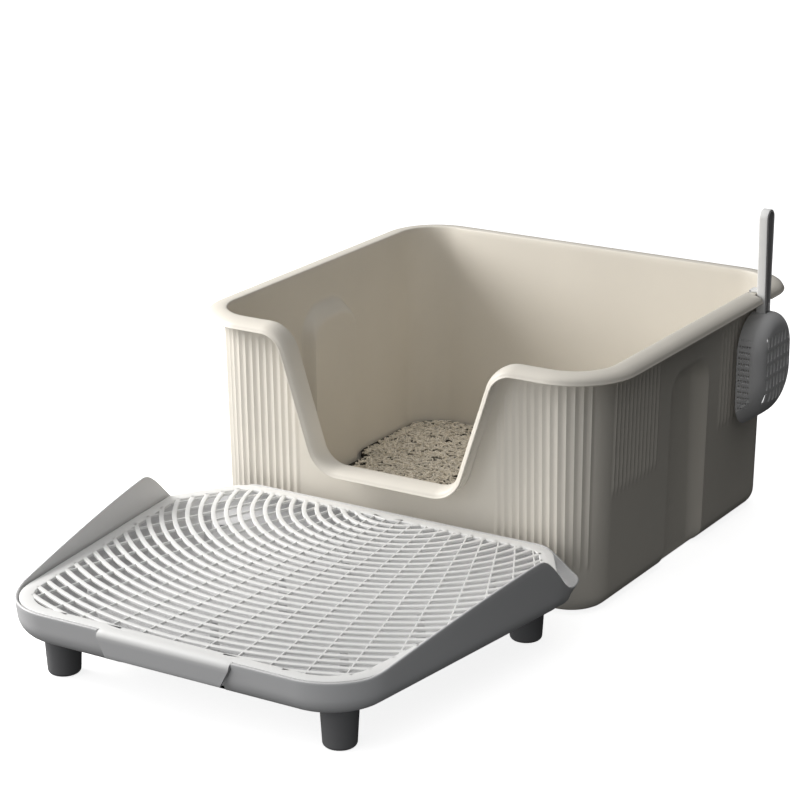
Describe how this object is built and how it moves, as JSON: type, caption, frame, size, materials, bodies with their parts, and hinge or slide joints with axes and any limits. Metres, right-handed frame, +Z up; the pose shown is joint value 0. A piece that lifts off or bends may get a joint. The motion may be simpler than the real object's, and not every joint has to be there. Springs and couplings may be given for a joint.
{
  "type": "cat litter box",
  "caption": "Open-top cat litter pan with a rolled rim and a low front entry, a separate catch step with a lift-out grille and pour spouts, and a slotted scoop hooked on the rim.",
  "frame": {"origin": "on the floor under the middle of the pan", "axes": "+X to the right seen from the entry, +Y to the rear, +Z up"},
  "size_m": [0.5579, 0.9474, 0.38],
  "materials": {
    "pan": "satin",
    "granules": "loose granules",
    "tray": "satin",
    "grille": "satin",
    "foot": "matte",
    "scoop": "satin",
    "handle": "satin"
  },
  "bodies": {
    "pan": {"litter_pan": "pan", "litter": "granules"},
    "step": {"step_tray": "tray", "front_left_foot": "foot", "front_right_foot": "foot", "rear_left_foot": "foot", "rear_right_foot": "foot"},
    "grille": {"step_grille": "grille"},
    "scoop": {"scoop_head": "scoop", "scoop_handle": "handle"}
  },
  "joints": [
    {"name": "step_pull", "type": "slide", "parent": "pan", "child": "step", "axis": [0, -1, 0], "range_m": [0, 0.2]},
    {"name": "grille_tip", "type": "hinge", "parent": "step", "child": "grille", "pos_m": [0.0114, -0.25477, 0.0865], "axis": [-1, 0, 0], "range_deg": [0, 60]},
    {"name": "scoop_lift", "type": "slide", "parent": "pan", "child": "scoop", "axis": [0, 0, 1], "range_m": [0, 0.009]}
  ]
}
